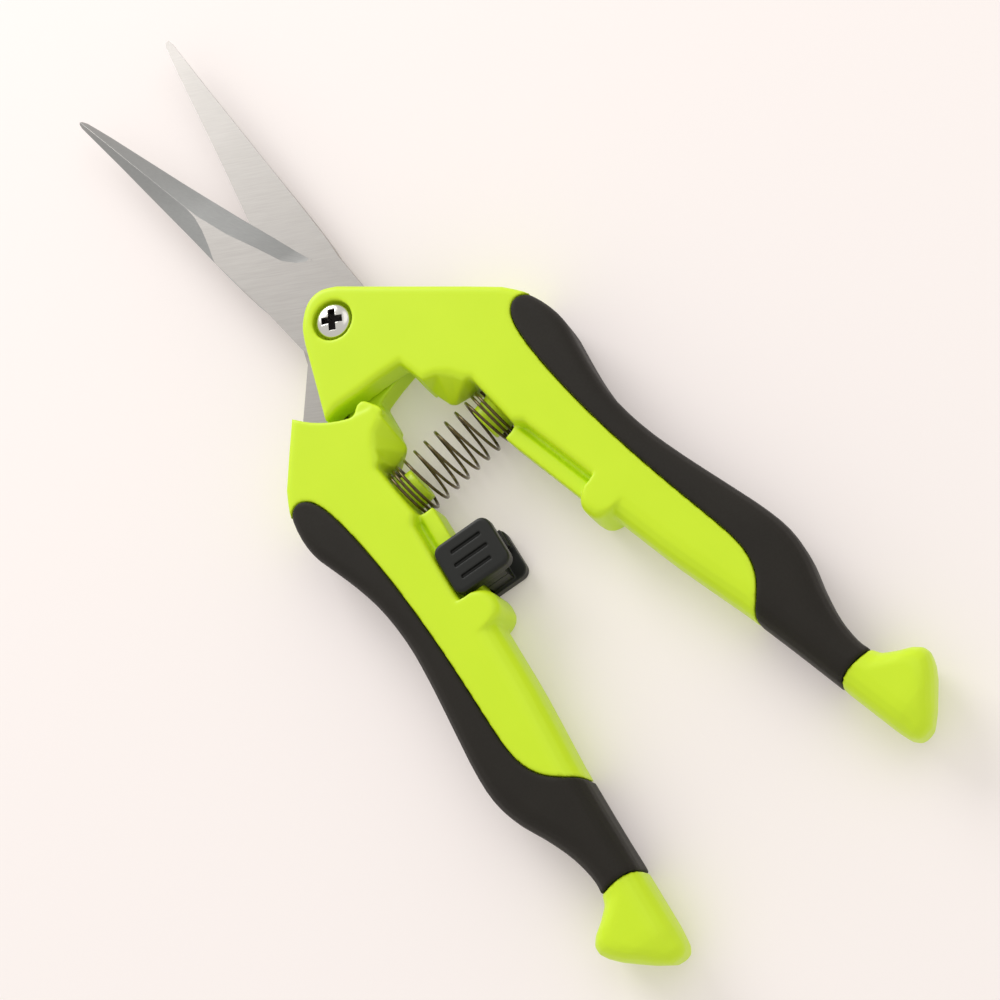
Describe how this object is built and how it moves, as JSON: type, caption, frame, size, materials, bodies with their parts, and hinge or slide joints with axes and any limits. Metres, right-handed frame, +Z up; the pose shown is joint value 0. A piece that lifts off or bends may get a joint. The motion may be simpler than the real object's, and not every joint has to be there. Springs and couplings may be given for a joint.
{
  "type": "floral snips",
  "caption": "Spring-opened hand snips with two slim crossed blades, contoured two-tone handles, a coil spring and a sliding lock.",
  "frame": {"origin": "middle of the underside of the whole open tool, on the plane that the grips rest on", "axes": "+Y along the tool towards the blade tips, +Z up out of the face with the pivot screw, +X towards the handle of the front half"},
  "size_m": [0.0608, 0.174, 0.0107],
  "materials": {
    "moulding": "satin moulded polypropylene",
    "grip": "matt soft-touch rubber",
    "blade": "satin ground stainless steel",
    "fastener": "bright nickel plate",
    "spring": "bronze-coloured plated spring wire",
    "lock": "black acetal, satin"
  },
  "bodies": {
    "right_half": {"right_handle": "moulding", "right_grip": "grip", "front_blade": "blade", "return_spring": "spring"},
    "left_half": {"left_handle": "moulding", "left_grip": "grip", "rear_blade": "blade", "pivot_screw": "fastener", "pivot_nut": "fastener"},
    "lock": {"lock_front": "lock", "lock_rear": "lock"}
  },
  "joints": [
    {"name": "blade_pivot", "type": "hinge", "parent": "right_half", "child": "left_half", "pos_m": [0, 0.02079, 0.00535], "axis": [0, 0, 1], "range_deg": [0, 17.5], "stiffness_Nm_per_rad": 0.9, "springref_deg": -8.59, "deforming": ["return_spring"]},
    {"name": "lock_slide", "type": "slide", "parent": "left_half", "child": "lock", "axis": [0.1521, 0.9884, 0], "range_m": [0, 0.0046]}
  ]
}
